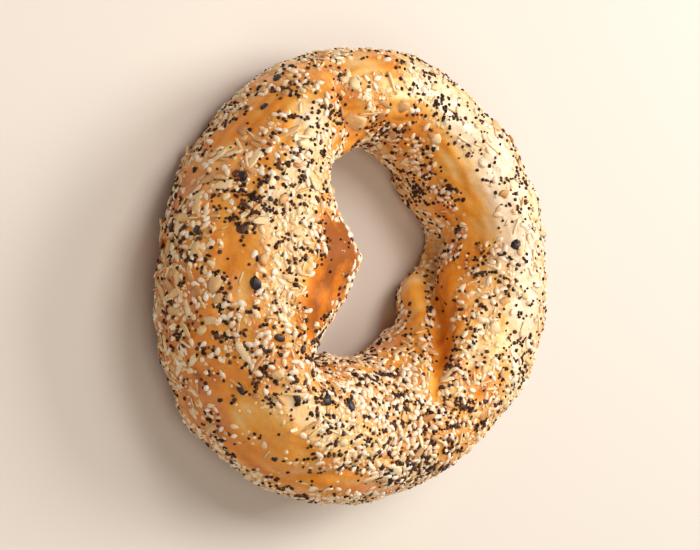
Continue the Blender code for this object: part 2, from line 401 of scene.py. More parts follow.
# How the crust is browned: the value goes from 0 for cream to 1 for dark brown, and later rows lie on top.
# Some rows also paint light and shade: pale where highlights fall on the right limb, and darker on the left
# rim, the lobe and the pocket's foot.
TINTS = rows(
    Patch,
    # The left limb's rim and crest, and the near left shoulder. The dark band round the left rim is partly
    # browning and partly painted shade.
    (150, 6, 136, 30, 4.8, 0.70, 2.0), (134, 34, 134, 48, 3.4, 0.64, 2.0),
    (133, 72, 148, 96, 5.0, 0.14, 3.0), (150, 92, 168, 82, 5.5, 0.20, 3.0),
    (168, 82, 196, 90, 6.0, 0.24, 3.0), (182, 46, 178, 53, 4.0, 0.62, 2.0),
    (168, 352, 190, 2, 9.0, 0.82, 4.0), (190, 2, 214, 8, 9.0, 0.80, 4.0),
    (220, 42, 224, 70, 5.5, 0.46, 2.5), (221, 78, 246, 76, 4.8, 0.26, 3.0),
    (224, 16, 238, 28, 4.6, 0.70, 2.5), (240, 34, 254, 47, 3.0, 0.62, 1.5),
    # The seam and its pocket, the hole's wall right of them, and the pale crest of the right limb. The right
    # limb's pale crest and rim, and the pale strip on its hole side, are partly less-baked crust and partly
    # painted highlight.
    (116, 92, 118, 54, 4.2, 0.58, 1.2), (114, 140, 115, 108, 4.8, 0.46, 1.5),
    # The first patch on the next line browns the pocket's foot, where it curves down into the hole: painted
    # shade.
    (114, 165, 113, 150, 4.8, 0.62, 2.0), (104, 50, 92, 100, 4.0, 0.46, 2.5),
    (54, 130, 40, 135, 4.4, 0.48, 2.5), (34, 137, 14, 141, 4.8, 0.47, 2.5),
    (80, 66, 54, 80, 7.0, 0.10, 3.5), (54, 78, 24, 84, 8.5, 0.06, 3.5),
    (24, 82, 344, 82, 8.5, 0.08, 3.5), (344, 80, 316, 58, 6.5, 0.08, 3.5),
    (350, 128, 309, 108, 4.5, 0.28, 2.5),
    # The gutter's wall, its tongue and the near limb's wall.
    (352, 168, 331, 165, 5.4, 0.64, 1.2), (331, 163, 312, 153, 4.4, 0.64, 1.0),
    (312, 153, 296, 136, 3.4, 0.63, 0.9), (296, 136, 279, 110, 2.0, 0.64, 0.9),
    (350, 150, 334, 146, 2.2, 0.62, 1.2), (344, 205, 334, 196, 3.0, 0.48, 1.2),
    (328, 190, 304, 170, 2.5, 0.54, 1.0), (246, 151, 286, 174, 4.5, 0.56, 2.0),
    # The lobe into the hole, and the foot of the right limb's wall. The lobe's dark brown is partly browning
    # and partly painted shade, darkest where it bulges down into the hole.
    (182, 150, 196, 160, 9.0, 1.06, 3.5), (172, 128, 186, 132, 5.0, 1.05, 3.0),
    (190, 121, 203, 108, 5.2, 0.95, 3.0), (60, 215, 350, 225, 11.0, 0.34, 4.0),
)

# Crust without gloss: the value is the share of its gloss that it keeps.
MATT = rows(
    Patch,
    (172, 128, 188, 126, 6.0, 0, 2.0), (188, 122, 203, 108, 6.0, 0, 2.0),
    (344, 166, 312, 153, 4.6, 0.1, 2.0), (312, 153, 279, 110, 3.0, 0.1, 2.0),
    (344, 205, 304, 170, 3.0, 0.4, 2.0), (150, 6, 134, 40, 5.0, 0.2, 2.5),
    (224, 16, 254, 30, 5.0, 0.3, 2.5), (54, 128, 14, 141, 5.0, 0.4, 2.5),
)

# Pale crust that shines between its toppings: the value is the share of the gloss that it lacks.
SHEEN = rows(
    Patch,
    (86, 80, 64, 101, 3.4, 0.1, 2.5), (64, 101, 38, 111, 4.0, 0.1, 2.5), (38, 111, 8, 120, 3.6, 0.1, 2.5),
)

# Crust that toppings of all kinds cover: the value is the share of the gaps that stays between them.
DENSE = rows(
    Patch,
    (238, 108, 276, 122, 6.5, 0.25, 3.0), (258, 84, 284, 82, 7.0, 0.35, 3.0),
    (262, 62, 290, 66, 6.0, 0.4, 3.0), (150, 92, 196, 98, 5.5, 0.4, 3.0),
)


def strongest(places: Array, patches: tuple[Patch, ...], form: DoughForm) -> Array:
    """Largest of the patches' shares at each place, each less the part that its value keeps back."""
    return np.max([(1 - patch.value) * patch.share(places, form) for patch in patches], axis=0)


def browned_with_painted_light(places: Array, form: DoughForm, plain: float) -> Array:
    """How brown the crust is, with the painted shade and painted highlight of some tints: a plain value,
    blended towards each tint in turn by its share.

    Args:
        places: (n, 3) points of the smooth ring.
        form: the dough that the tints' angles belong to.
        plain: value where there is no tint.

    Returns:
        n values, 0 for cream to 1 for dark brown.
    """
    value = np.full(len(places), plain)
    for tint in TINTS:
        value += (tint.value - value) * tint.share(places, form)
    return value


def make_piece(
    name: str, points: Array, faces: Array, uv: Array, values: dict[str, Array], material: bpy.types.Material
) -> bpy.types.Object:
    """Makes a piece that rides on the bagel's body, from arrays and with no loop over its points.

    Args:
        name: its name.
        points: points in metres, with x, y and z on the last axis.
        faces: point numbers, four to a face on the last axis; a triangle repeats its last one.
        uv: places of the faces' corners on the unit square, with one axis more.
        values: for each attribute that its mesh keeps, a number for every point.
        material: its finish.

    Returns:
        The piece, shaded smooth, with the uv places in a map named OFBake.
    """
    faces = faces.reshape(-1, 4)
    real = np.ones(faces.shape, bool)
    real[:, 3] = faces[:, 3] != faces[:, 2]
    totals = real.sum(axis=1)
    mesh = bpy.data.meshes.new(name)
    mesh.vertices.add(points.size // 3)
    mesh.vertices.foreach_set("co", points.astype(np.float32).ravel())
    mesh.loops.add(int(totals.sum()))
    mesh.loops.foreach_set("vertex_index", faces[real].astype(np.int32))
    mesh.polygons.add(len(faces))
    mesh.polygons.foreach_set("loop_start", (np.cumsum(totals) - totals).astype(np.int32))
    layer = mesh.uv_layers.new(name="OFBake")
    layer.data.foreach_set("uv", uv.reshape(-1, 4, 2)[real].astype(np.float32).ravel())
    mesh.update(calc_edges=True)
    mesh.validate()
    mesh.shade_smooth()
    for label, numbers in values.items():
        attribute = mesh.attributes.new(label, "FLOAT", "POINT")
        attribute.data.foreach_set("value", numbers.astype(np.float32))
    mesh.materials.append(material)
    piece = bpy.data.objects.new(name, mesh)
    bpy.context.scene.collection.objects.link(piece)
    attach(piece, BODY)
    LOG.info("%s: %d faces", name, len(mesh.polygons))
    return piece


class Nodes:
    """A short way to write a material's node tree."""

    def __init__(self, name: str) -> None:
        """Makes a material with one shader, which is kept as self.shader.

        Args:
            name: the material's name.
        """
        self.material = bpy.data.materials.new(name)
        self.material.use_nodes = True
        self.tree = self.material.node_tree
        self.shader = self.tree.nodes["Principled BSDF"]

    def fill(self, node: bpy.types.Node, inputs: dict[str | int, object]) -> None:
        """Links or sets a node's inputs.

        Args:
            node: the node.
            inputs: for each input, the output that it is linked to or its value.
        """
        for name, value in inputs.items():
            if isinstance(value, Socket):
                self.tree.links.new(value, node.inputs[name])
            else:
                node.inputs[name].default_value = value

    def set(self, **inputs: object) -> None:
        """Links or sets sockets of the shader, named with underscores for spaces."""
        self.fill(self.shader, {name.replace("_", " "): value for name, value in inputs.items()})

    def add(self, kind: str, output: str, inputs: dict[str | int, object], **settings: object) -> Socket:
        """Adds a node.

        Args:
            kind: the node's type.
            output: name of the output that is wanted.
            inputs: its inputs, as fill takes them.
            settings: its properties.

        Returns:
            The output.
        """
        node = self.tree.nodes.new("ShaderNode" + kind)
        for name, value in settings.items():
            setattr(node, name, value)
        self.fill(node, inputs)
        return node.outputs[output]

    def value(self, name: str) -> Socket:
        """The number that the mesh keeps under a name."""
        return self.add("Attribute", "Fac", {}, attribute_name=name)

    def noise(self, size: float, detail: float = 2.0, offset: float = 0.0) -> Socket:
        """Noise on Object coordinates.

        Args:
            size: width of its blotches in metres.
            detail: how many finer octaves it has.
            offset: a shift in metres that sets it apart from others of one size.

        Returns:
            A number about 0.5.
        """
        place = self.add("TexCoord", "Object", {})
        place = self.add("Mapping", "Vector", {"Vector": place, "Location": (offset, -offset, offset)})
        return self.add("TexNoise", "Fac", {"Vector": place, "Scale": 1 / size, "Detail": detail})

    def swing(self, size: float, detail: float = 2.0, offset: float = 0.0) -> Socket:
        """The same noise, about zero."""
        return self.math("SUBTRACT", self.noise(size, detail, offset), 0.5)

    def math(self, how: str, first: Socket, second: Socket | float) -> Socket:
        """Arithmetic on a number and another one."""
        return self.add("Math", "Value", {0: first, 1: second}, operation=how)

    def spread(self, source: Socket, low: float, high: float) -> Socket:
        """A number stretched from 0..1 to low..high, and held there."""
        return self.add("MapRange", "Result", {"Value": source, "To Min": low, "To Max": high})

    def mix(self, share: Socket, colour: Socket, other: Colour) -> Socket:
        """A colour blended by a share towards a fixed one."""
        inputs = {"Fac": share, "Color1": colour, "Color2": (*other, 1.0)}
        return self.add("MixRGB", "Color", inputs, use_clamp=True)

    def ramp(self, source: Socket, stops: Stops) -> Socket:
        """Colours along a number.

        Args:
            source: the number.
            stops: pairs of a number and a colour, in order.

        Returns:
            The colour.
        """
        node = self.tree.nodes.new("ShaderNodeValToRGB")
        elements = node.color_ramp.elements
        while len(elements) < len(stops):
            elements.new(0.5)
        for element, (place, colour) in zip(elements, stops):
            element.position = place
            element.color = (*colour, 1.0)
        self.fill(node, {"Fac": source})
        return node.outputs["Color"]

    def bump(self, *layers: tuple[Socket, float]) -> None:
        """Raises the surface by one height after another.

        Args:
            layers: pairs of a height and its depth in metres.
        """
        before = {}
        for height, depth in layers:
            normal = self.add("Bump", "Normal", {"Height": height, "Distance": depth, **before})
            before = {"Normal": normal}
        self.set(**before)


@dataclass(frozen=True)
class CrustFinish:
    """Egg-washed crust: cream where the oven missed it, through gold and orange to brown.

    Blotches and a finer mottle change the browning. Between toppings the crust is lumpy and blended with a
    darker dusty colour, partly dust and partly painted shade among the seeds, and bare crust keeps the
    bare_relief of both.
    Bare crust is glossy, unless it is matt.
    """

    stops: Stops = (
        (0.00, (0.91, 0.73, 0.53)),
        (0.25, (0.88, 0.56, 0.22)),
        (0.45, (0.86, 0.41, 0.065)),
        (0.65, (0.80, 0.28, 0.022)),
        (0.85, (0.64, 0.18, 0.014)),
        (1.00, (0.32, 0.085, 0.012)),
    )
    blotch_size: float = 8 * MM
    blotching: float = 0.6
    mottle_size: float = 1.4 * MM
    mottling: float = 0.7
    bare_relief: float = 0.25
    dust_and_shade: Colour = (0.55, 0.32, 0.17)
    dust_and_shade_size: float = 3.5 * MM
    dust_and_shade_range: Pair = (-0.4, 1.4)
    dust_and_shade_share: float = 0.30
    lump_size: float = 1.6 * MM
    lump_depth: float = 0.8 * MM
    pore_size: float = 0.5 * MM
    pore_depth: float = 0.08 * MM
    specular: Pair = (0.35, 0.03)
    roughness: Pair = (0.52, 0.34)
    coat: Pair = (0.05, 0.60)
    coat_roughness: float = 0.27

    def make(self) -> bpy.types.Material:
        """Makes the material from the attributes that the crust's mesh keeps.

        Returns:
            The material.
        """
        nodes = Nodes("crust")
        rough = nodes.spread(nodes.value("bare"), 1.0, self.bare_relief)
        blotches = nodes.math("MULTIPLY", nodes.swing(self.blotch_size, 3.0), self.blotching)
        mottle = nodes.math("MULTIPLY", nodes.swing(self.mottle_size, 2.0, 0.3), rough)
        browning_and_painted_light = nodes.math("ADD", nodes.value("browning_and_painted_light"), blotches)
        browning_and_painted_light = nodes.math("ADD", browning_and_painted_light, nodes.math("MULTIPLY", mottle, self.mottling))
        # A darker dusty colour among the toppings: partly dust, partly painted shade between the seeds.
        dust_and_shade_mix = nodes.spread(nodes.noise(self.dust_and_shade_size, 2.0, 0.9), *self.dust_and_shade_range)
        dust_and_shade_mix = nodes.math("MULTIPLY", nodes.math("MULTIPLY", dust_and_shade_mix, rough), self.dust_and_shade_share)
        colour = nodes.mix(dust_and_shade_mix, nodes.ramp(browning_and_painted_light, self.stops), self.dust_and_shade)
        smooth = nodes.math("SUBTRACT", nodes.value("bare"), nodes.value("matt"))
        nodes.set(
            Base_Color=colour,
            Roughness=nodes.spread(smooth, *self.roughness),
            Coat_Weight=nodes.spread(smooth, *self.coat),
            Coat_Roughness=self.coat_roughness,
            Specular_IOR_Level=nodes.spread(nodes.value("matt"), *self.specular),
        )
        lumps = nodes.math("MULTIPLY", nodes.noise(self.lump_size, 3.0, 0.7), rough)
        pores = nodes.noise(self.pore_size, 3.0, 0.1)
        nodes.bump((lumps, self.lump_depth), (pores, self.pore_depth))
        return nodes.material


@dataclass(frozen=True)
class BitFinish:
    """The finish of one kind of topping: colours along its tone, and how it takes light."""

    stops: Stops
    roughness: float
    grain: float = 0.5 * MM
    grain_depth: float = 0.05 * MM
    specular: float = 0.5
    mottling: float = 0.25

    def make(self, name: str) -> bpy.types.Material:
        """Tone from the mesh, a little noise over it, and a fine grain as bump.

        Args:
            name: the material's name.

        Returns:
            The material.
        """
        nodes = Nodes(name)
        mottle = nodes.math("MULTIPLY", nodes.swing(self.grain * 2, 1.0, 0.5), self.mottling)
        tone = nodes.math("ADD", nodes.value("tone"), mottle)
        colour = nodes.ramp(tone, self.stops)
        nodes.set(Base_Color=colour, Roughness=self.roughness, Specular_IOR_Level=self.specular)
        nodes.bump((nodes.noise(self.grain), self.grain_depth))
        return nodes.material


@dataclass
class Crust:
    """The crust as a grid of points, so many round the ring and round the section, closed both ways.

    plain holds the smooth ring's points, where all patches are measured, streaks the stretch marks, cover
    how thick toppings lie from 0 in a gap to 1, and bareness how far the bare patches reach.
    """

    form: DoughForm
    grid: tuple[int, int] = (440, 220)
    ripples: tuple[Pair, ...] = ((11.0 * MM, 0.22 * MM), (4.5 * MM, 0.07 * MM))
    streak_waves: int = 26
    streak_turns: tuple[int, int] = (14, 34)
    streak_slant: float = 9.0
    streak_height: float = 0.05 * MM
    streak_brown: float = 0.2
    blister_count: int = 130
    blister_reach: Pair = (0.9 * MM, 2.4 * MM)
    blister_rise: float = 0.16
    cover_waves: tuple[Pair, ...] = ((11.0 * MM, 0.7), (5.0 * MM, 0.8))
    cover_range: Pair = (-0.95, 0.6)
    plain_brown: float = 0.60
    brownest: float = 1.1
    foot_height: float = 9 * MM
    foot_brown: float = 0.20
    gap_bareness: float = 0.9
    seed: int = 5
    streak_seed: int = 55
    cover_seed: int = 77
    plain: Array = field(init=False)
    streaks: Array = field(init=False)
    points: Array = field(init=False)
    normals: Array = field(init=False)
    cover: Array = field(init=False)
    bareness: Array = field(init=False)

    def __post_init__(self) -> None:
        """Works out the points, presses the underside flat and takes the normals from the grid."""
        ring, section = (np.arange(steps) * 2 * math.pi / steps for steps in self.grid)
        ring, section = (angles.ravel() for angles in np.meshgrid(ring, section, indexing="ij"))
        self.plain = self.form.plain(ring, section)
        self.streaks = self.stretch_marks(ring, section)
        places, normals = self.form.surface(ring, section)
        relief = self.fine_relief(places) + self.streak_height * self.streaks
        places = places + normals * relief[:, None]
        places[:, 2] = np.maximum(places[:, 2], 0)
        self.points = places.reshape(*self.grid, 3)
        along = np.roll(self.points, -1, axis=0) - np.roll(self.points, 1, axis=0)
        across = np.roll(self.points, -1, axis=1) - np.roll(self.points, 1, axis=1)
        self.normals = unit(np.cross(along, across))
        low, high = self.cover_range
        waves = ease((rippled(places, self.cover_waves, self.cover_seed) - low) / (high - low))
        self.cover = np.maximum(waves, strongest(self.plain, DENSE, self.form))
        self.bareness = strongest(self.plain, BARE, self.form)

    def stretch_marks(self, ring: Array, section: Array) -> Array:
        """Long slanting marks of the rolling: a sum of cos(slant * ring + turns * section + phase).

        Args:
            ring: n ring angles in radians.
            section: n section angles in radians.

        Returns:
            n values with a spread of about one.
        """
        draw = np.random.default_rng(self.streak_seed)
        total = np.zeros(len(ring))
        for _ in range(self.streak_waves):
            turns = draw.integers(*self.streak_turns) * draw.choice((-1, 1))
            slant = round(draw.normal(0, self.streak_slant))
            total += np.cos(slant * ring + turns * section + draw.uniform(0, 2 * math.pi))
        return total * math.sqrt(2 / self.streak_waves)

    def fine_relief(self, places: Array) -> Array:
        """Heights of ripples, and of blisters as bell curves round places drawn from the grid.

        Args:
            places: (n, 3) points of the dough.

        Returns:
            n heights in metres.
        """
        relief = rippled(places, self.ripples, self.seed)
        draw = np.random.default_rng(self.seed)
        middles = places[draw.integers(0, len(places), self.blister_count)]
        reaches = draw.uniform(*self.blister_reach, self.blister_count)
        for middle, reach in zip(middles, reaches):
            relief += self.blister_rise * reach * bell(places, middle, reach)
        return relief

    def values(self) -> dict[str, Array]:
        """The crust's browning, with the tints' painted shade and painted highlight, and its bareness and
        mattness.

        The foot is browner, and stretch marks show most on half-brown crust. Gaps between the toppings
        and the sheen count as bare.

        Returns:
            For each attribute that the finish reads, a number for every point.
        """
        low = 1 - ease(self.points.reshape(-1, 3)[:, 2] / self.foot_height)
        brown_with_painted_light = browned_with_painted_light(self.plain, self.form, self.plain_brown)
        streaks = self.streak_brown * brown_with_painted_light * np.maximum(self.brownest - brown_with_painted_light, 0) * self.streaks
        bare = np.maximum(self.bareness, self.gap_bareness * (1 - self.cover))
        return {
            "browning_and_painted_light": brown_with_painted_light + streaks + self.foot_brown * low,
            "bare": np.maximum(bare, strongest(self.plain, SHEEN, self.form)),
            "matt": strongest(self.plain, MATT, self.form),
        }

    def make(self) -> bpy.types.Object:
        """Makes the crust's piece: a face between each four points, with its angles as uv.

        Returns:
            The piece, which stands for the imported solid.
        """
        index = np.arange(self.grid[0] * self.grid[1]).reshape(self.grid)
        onward = np.roll(index, -1, axis=0)
        faces = np.stack([index, onward, np.roll(onward, -1, axis=1), np.roll(index, -1, axis=1)], axis=-1)
        corners = np.array([[0, 0], [1, 0], [1, 1], [0, 1]])
        uv = (np.moveaxis(np.indices(self.grid), 0, -1)[:, :, None] + corners) / self.grid
        piece = make_piece("crust", self.points, faces, uv, self.values(), CrustFinish().make())
        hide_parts(NODE)
        return piece


@dataclass(frozen=True)
class UnitShape:
    """A closed surface round an axis, with a pole at each end.

    Its point (u, v) is (r(v) cos u, r(v) sin u, h(v)), with radii for r and heights for h.
    """

    around: int
    radii: tuple[float, ...]
    heights: tuple[float, ...]
    lengthwise: bool = False

    def points(self) -> Array:
        """The two poles, first and last, and the rings between them.

        Returns:
            (n, 3) points within a unit cube; lengthwise shapes have their axis along X.
        """
        turn = np.arange(self.around) * 2 * math.pi / self.around
        radii = np.array(self.radii[1:-1])[:, None]
        heights = np.array(self.heights[1:-1])[:, None]
        rings = np.stack([radii * np.cos(turn), radii * np.sin(turn), heights + 0 * turn], axis=-1)
        poles = [[0, 0, self.heights[0]], [0, 0, self.heights[-1]]]
        points = np.concatenate([poles[:1], rings.reshape(-1, 3), poles[1:]])
        if self.lengthwise:
            points = points[:, [2, 0, 1]]
        return points / 2

    def faces(self) -> Array:
        """Point numbers of the faces, ring by ring.

        Returns:
            (m, 4) numbers; the faces at the poles are triangles, which repeat their last point.
        """
        here = np.arange(self.around)
        onward = (here + 1) % self.around
        starts = 1 + self.around * np.arange(len(self.radii) - 2)
        last = 1 + self.around * len(starts)
        first_ring = np.stack([0 * here, here + 1, onward + 1, onward + 1], axis=-1)
        last_ring = np.stack([0 * here + last, starts[-1] + onward] + 2 * [starts[-1] + here], axis=-1)
        bands = [
            np.stack([low + here, high + here, high + onward, low + onward], axis=-1)
            for low, high in zip(starts, starts[1:])
        ]
        return np.concatenate([first_ring, *bands, last_ring])


class Form(Enum):
    """The unit shapes that toppings start from."""

    SEED = UnitShape(6, (0, 0.62, 1.0, 0.92, 0.5, 0), (-1.0, -0.86, -0.4, 0.15, 0.68, 1.0), True)
    BEAD = UnitShape(6, (0, 0.8, 0.8, 0), (1.0, 0.55, -0.55, -1.0))
    CHIP = UnitShape(9, (0, 0.72, 1.0, 0.72, 0), (0.8, 1.0, 0.0, -1.0, -0.8))
    STICK = UnitShape(5, (0, 0.7, 1.0, 1.0, 0.9, 0.6, 0), (-1.0, -0.94, -0.5, 0.0, 0.5, 0.94, 1.0), True)
    LUMP = UnitShape(5, (0, 0.95, 0.9, 0), (1.0, 0.5, -0.5, -1.0))


@dataclass(frozen=True)
class Cluster:
    """Where a topping lies thicker: its angles, its reach in millimetres and how many times as many."""

    ring: float
    section: float
    reach: float
    gain: float


@dataclass(frozen=True)
class Spot:
    """One topping at a listed place: angles, length and width in millimetres, turn in degrees and tone."""

    ring: float
    section: float
    length: float
    width: float
    turn: float
    tone: float


@dataclass(frozen=True)
class Topping:
    """One kind of topping: how many at most, how large, how uneven, and where it gathers.

    size is its length, width and height, and room the radius that it keeps free, in millimetres. spread is
    how far its sizes differ, rough how far its points stray, and bend how far its ends may curl, each as a
    share. tilt is the spread of its slope, and sink the share of its height that its middle lies under the
    crust. patchiness and clumping say how unevenly it lies, bare_share how much of it is left on bare
    crust, and toast_and_shade how much darker it is on brown crust, which also darkens it under the tints'
    painted shade.
    """

    name: str
    form: Form
    count: int
    size: Triple
    room: float
    finish: BitFinish
    tones: tuple[float, ...] = ()
    spread: float = 0.26
    rough: float = 0.3
    bend: float = 0.0
    tilt: float = 0.5
    sink: float = 0.05
    patchiness: float = 0.3
    clumping: float = 0.8
    bare_share: float = 0.02
    toast_and_shade: float = 0.0
    smooth: bool = True
    clusters: tuple[Cluster, ...] = ()
    spots: tuple[Spot, ...] = ()


@dataclass
class Sprinkler:
    """Scatters toppings over the crust, largest kinds first, with room between their middles.

    Below low_height they thin out to low_share of their number, and none lies below ground. taken keeps
    the places and rooms of the toppings in and next to each cube of space, whose side is cell.
    """

    crust: Crust
    cell: float = 3.0 * MM
    low_height: float = 9.0 * MM
    low_share: float = 0.16
    ground: float = 0.9 * MM
    lowest: float = 0.05 * MM
    waves: tuple[Pair, ...] = ((17 * MM, 1.0), (6 * MM, 0.8), (2.6 * MM, 1.3))
    wave_count: int = 16
    tries: int = 4
    size_limit: float = 1.8
    axis_share: float = 0.5
    tone_spread: float = 0.05
    plain_brown: float = 0.4
    uv_margin: float = 0.1
    first_seed: int = 100
    seed_step: int = 10
    taken: dict[tuple[int, ...], list[tuple[float, ...]]] = field(default_factory=dict)

    def cell_weights(self, topping: Topping, seed: int) -> Array:
        """How likely each cell of the crust's grid is to hold a topping.

        The weight is the cell's area, times patchy waves, times what the gaps and the bare patches leave,
        times the clusters' gains, and it falls off near the ground.

        Args:
            topping: the kind.
            seed: seed of the patchy waves.

        Returns:
            Weights of all cells, which sum to one.
        """
        points = self.crust.points
        along = np.roll(points, -1, axis=0) - points
        across = np.roll(points, -1, axis=1) - points
        area = np.linalg.norm(np.cross(along, across), axis=-1).ravel()
        places = points.reshape(-1, 3)
        weight = area * np.exp(topping.patchiness * rippled(places, self.waves, seed, self.wave_count))
        weight *= 1 - topping.clumping * (1 - self.crust.cover)
        weight *= 1 - (1 - topping.bare_share) * self.crust.bareness
        for cluster in topping.clusters:
            middle = self.crust.form.place(cluster.ring, cluster.section)
            weight *= 1 + (cluster.gain - 1) * bell(places, middle, cluster.reach * MM)
        height = places[:, 2]
        weight *= self.low_share + (1 - self.low_share) * ease(height / self.low_height)
        weight[height < self.ground] = 0
        return weight / weight.sum()

    def is_free(self, place: Array, room: float) -> bool:
        """Whether a place keeps its room, added to each neighbour's, from all that lies near it already."""
        near = self.taken.get(tuple(np.floor(place / self.cell).astype(int)), ())
        return all(math.dist(place, other[:3]) >= room + other[3] for other in near)

    def cells(self, topping: Topping, seed: int) -> tuple[Array, Array, Array]:
        """Cells of the crust's grid that may hold toppings: those of its spots, or drawn ones.

        Args:
            topping: the kind.
            seed: seed of the draw.

        Returns:
            The cells' two numbers, and (n, 2, 1) shares for where in its cell a topping lies.
        """
        grid = self.crust.grid
        if topping.spots:
            angles = np.array([(spot.ring, spot.section) for spot in topping.spots], float)
            ring, section = (np.rint(angles / 360 * grid).astype(int) % grid).T
            return ring, section, np.zeros((len(angles), 2, 1))
        draw = np.random.default_rng(seed)
        tries = topping.count * self.tries
        drawn = draw.choice(grid[0] * grid[1], tries, p=self.cell_weights(topping, seed))
        return *np.unravel_index(drawn, grid), draw.random((tries, 2, 1))

    def places(self, topping: Topping, seed: int) -> tuple[Array, Array, Array, Array]:
        """Middles, normals and directions along the ring of one kind's toppings.

        Args:
            topping: the kind.
            seed: seed of the draw.

        Returns:
            Three arrays of (count, 3) at most, and the smooth ring's points under them.
        """
        crust = self.crust
        ring, section, shares = self.cells(topping, seed)
        far_ring, far_section = (ring + 1) % crust.grid[0], (section + 1) % crust.grid[1]
        x, y = shares[:, 0], shares[:, 1]
        corners = (
            ((1 - x) * (1 - y), ring, section), ((1 - x) * y, ring, far_section),
            (x * (1 - y), far_ring, section), (x * y, far_ring, far_section),
        )
        places = sum(share * crust.points[one, two] for share, one, two in corners)
        normals = unit(sum(share * crust.normals[one, two] for share, one, two in corners))
        along = crust.points[far_ring, section] - crust.points[ring, section]
        kept = []
        room = topping.room * MM
        for number, place in enumerate(places):
            if topping.spots or (len(kept) < topping.count and self.is_free(place, room)):
                kept.append(number)
                cube = np.floor(place / self.cell).astype(int)
                for step in itertools.product((-1, 0, 1), repeat=3):
                    self.taken.setdefault(tuple(cube + step), []).append((*place, room))
        plain = crust.plain[(ring * crust.grid[1] + section)[kept]]
        return places[kept], normals[kept], unit(along[kept]), plain

    def sprinkle(self, topping: Topping, seed: int) -> bpy.types.Object:
        """Makes all toppings of one kind as a single piece.

        Each is the unit shape with uneven points, bent by its height falling off with the square of its
        length, scaled, tilted, spun about the crust's normal and set a little into the crust. Scales
        differ from topping to topping, and by axis_share of that from axis to axis.

        Args:
            topping: the kind.
            seed: seed of its draws.

        Returns:
            The piece.
        """
        draw = np.random.default_rng(seed + 1)
        places, normals, along, plain = self.places(topping, seed)
        count = len(places)
        if topping.spots:
            sizes = [(spot.length, spot.width, topping.size[2]) for spot in topping.spots]
            lengths = np.array(sizes)[:, None] * MM
            spin = np.radians([[spot.turn] for spot in topping.spots])
            tones = np.array([spot.tone for spot in topping.spots])
        else:
            limit, axis_limit = self.size_limit, self.size_limit * self.axis_share
            whole = draw.normal(0, 1, (count, 1, 1)).clip(-limit, limit)
            apart = draw.normal(0, self.axis_share, (count, 1, 3)).clip(-axis_limit, axis_limit)
            lengths = np.array(topping.size) * MM * np.exp(topping.spread * (whole + apart))
            spin = draw.uniform(0, 2 * math.pi, (count, 1))
            tones = draw.choice(np.array(topping.tones), count) + draw.normal(0, self.tone_spread, count)
            # Toppings are darker where the crust is browner, so they also take on the painted shade that some
            # tints give the left rim and the lobe.
            brown_with_painted_light = browned_with_painted_light(plain, self.crust.form, self.plain_brown)
            tones -= topping.toast_and_shade * (brown_with_painted_light - self.plain_brown)
        base = topping.form.value.points()
        points = base[None] * (1 + topping.rough * draw.uniform(-1, 1, (count, len(base), 1)))
        points[..., 2] -= topping.bend * draw.uniform(-1, 1, (count, 1)) * points[..., 0] ** 2
        points = points * lengths
        normals = unit(normals + topping.tilt * draw.normal(0, 1, (count, 3)))
        first = unit(along - normals * dot(along, normals)[:, None])
        axis = first * np.cos(spin) + np.cross(normals, first) * np.sin(spin)
        turn = np.stack([axis, np.cross(normals, axis), normals], axis=-1)
        depth = topping.sink * lengths[:, 0, 2:]
        points = np.einsum("nij,nkj->nki", turn, points) + (places - normals * depth)[:, None]
        points[..., 2] = np.maximum(points[..., 2], self.lowest)
        return self.piece(topping, points, tones)

    def piece(self, topping: Topping, points: Array, tones: Array) -> bpy.types.Object:
        """Joins one kind's shapes into one mesh, each with its own tone and its own cell of the uv square.

        Args:
            topping: the kind.
            points: (count, n, 3) finished points.
            tones: count tones, which are held to 0..1.

        Returns:
            The piece.
        """
        shape = topping.form.value
        count, size = points.shape[:2]
        faces = shape.faces()
        all_faces = faces[None] + (np.arange(count) * size)[:, None, None]
        side = math.ceil(math.sqrt(count))
        cells = np.stack(np.divmod(np.arange(count), side), axis=-1)[:, None, None]
        band, turn = np.divmod(np.maximum(faces - 1, 0), shape.around)
        local = np.stack([turn / shape.around, band / (len(shape.radii) - 2)], axis=-1).clip(0, 1)
        uv = (cells + self.uv_margin + (1 - 2 * self.uv_margin) * local[None]) / side
        values = {"tone": np.repeat(tones.clip(0, 1), size)}
        piece = make_piece(topping.name, points, all_faces, uv, values, topping.finish.make(topping.name))
        if not topping.smooth:
            piece.data.shade_flat()
        return piece

    def make(self) -> None:
        """Sprinkles every kind, each with seeds of its own."""
        for number, topping in enumerate(TOPPINGS):
            self.sprinkle(topping, self.first_seed + self.seed_step * number)


